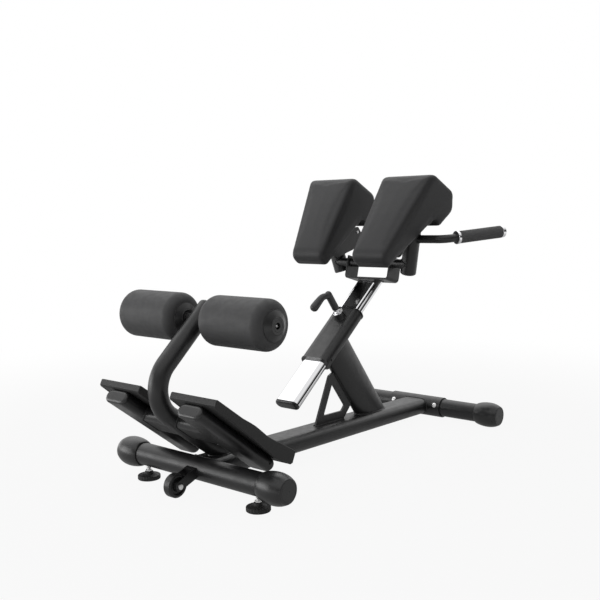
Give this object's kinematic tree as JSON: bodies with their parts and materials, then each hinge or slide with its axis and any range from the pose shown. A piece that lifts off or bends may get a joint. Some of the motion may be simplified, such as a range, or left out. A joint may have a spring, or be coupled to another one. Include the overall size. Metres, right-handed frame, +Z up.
{
  "type": "back extension machine",
  "caption": "Free-standing 45-degree back extension machine with sliding clamped thigh pads, turning foam ankle rollers, sloped foot plates, bent handles and a transport wheel",
  "frame": {"origin": "middle of the footprint, on the floor", "axes": "+X from the foot end to the pad end, +Y to the left of a user who faces the pads, +Z up"},
  "size_m": [1.2618, 0.7584, 0.8329],
  "materials": {
    "powder_black": "satin black powder coat",
    "chrome": "polished chrome plate",
    "cap_black": "semi-gloss moulded black plastic",
    "tread_black": "matt moulded black plastic with ribbed tread",
    "rubber_black": "matt black rubber",
    "foam_grey": "smooth closed-skin black foam",
    "pad_vinyl": "black moulded vinyl skin, fine grain",
    "grip_rubber": "textured dark grey rubber grip"
  },
  "bodies": {
    "base": {"main_beam": "powder_black", "rear_stabiliser": "powder_black", "front_socket": "powder_black", "front_stabiliser": "powder_black", "column": "powder_black", "slide_sleeve": "powder_black", "gusset": "powder_black", "clamp_boss": "powder_black", "roller_arm": "powder_black", "foot_cross_left": "powder_black", "foot_cross_right": "powder_black", "foot_support_left": "powder_black", "foot_support_right": "powder_black", "roller_axle": "powder_black", "wheel_fork": "powder_black", "rear_end_cap_left": "cap_black", "rear_end_cap_right": "cap_black", "front_end_cap_left": "cap_black", "front_end_cap_right": "cap_black", "slide_liner": "cap_black", "support_plug_left": "cap_black", "support_plug_right": "cap_black", "front_screw_left": "chrome", "front_screw_right": "chrome", "wheel_bolt": "chrome", "axle_screw_left": "chrome", "axle_screw_right": "chrome", "foot_plate_left": "tread_black", "foot_plate_right": "tread_black"},
    "head": {"slide_tube": "chrome", "slide_tube_plug": "cap_black", "head_bracket": "powder_black", "cross_tube": "powder_black", "head_post_left": "powder_black", "head_post_right": "powder_black", "handle_left": "powder_black", "handle_right": "powder_black", "grip_left": "grip_rubber", "grip_right": "grip_rubber", "grip_ring_left": "chrome", "grip_ring_right": "chrome", "grip_end_left": "chrome", "grip_end_right": "chrome", "pad_bracket_left": "powder_black", "pad_bracket_right": "powder_black", "pad_left": "pad_vinyl", "pad_right": "pad_vinyl"},
    "lever": {"clamp_lever": "cap_black", "clamp_screw": "chrome"},
    "wheel": {"transport_wheel": "rubber_black"},
    "roller_left": {"foam_roller_left": "foam_grey", "hub_inner_left": "cap_black", "hub_outer_left": "cap_black"},
    "foot_left": {"foot_disc_left": "rubber_black", "foot_stem_left": "chrome"},
    "roller_right": {"foam_roller_right": "foam_grey", "hub_inner_right": "cap_black", "hub_outer_right": "cap_black"},
    "foot_right": {"foot_disc_right": "rubber_black", "foot_stem_right": "chrome"}
  },
  "joints": [
    {"name": "head_slide", "type": "slide", "parent": "base", "child": "head", "axis": [0.7875, 0, 0.6164], "range_m": [-0.075, 0.12]},
    {"name": "clamp_turn", "type": "hinge", "parent": "base", "child": "lever", "pos_m": [0.14886, 0, 0.38108], "axis": [-0.6164, 0, 0.7875], "range_deg": [-90, 90]},
    {"name": "wheel_spin", "type": "hinge", "parent": "base", "child": "wheel", "pos_m": [-0.55356, 0, 0.044], "axis": [0, 1, 0], "continuous": true},
    {"name": "roller_spin_left", "type": "hinge", "parent": "base", "child": "roller_left", "pos_m": [-0.45716, 0.154, 0.4556], "axis": [0, 1, 0], "continuous": true},
    {"name": "foot_height_left", "type": "slide", "parent": "base", "child": "foot_left", "axis": [0, 0, 1], "range_m": [-0.01, 0.008]},
    {"name": "roller_spin_right", "type": "hinge", "parent": "base", "child": "roller_right", "pos_m": [-0.45716, -0.154, 0.4556], "axis": [0, 1, 0], "continuous": true},
    {"name": "foot_height_right", "type": "slide", "parent": "base", "child": "foot_right", "axis": [0, 0, 1], "range_m": [-0.01, 0.008]}
  ]
}
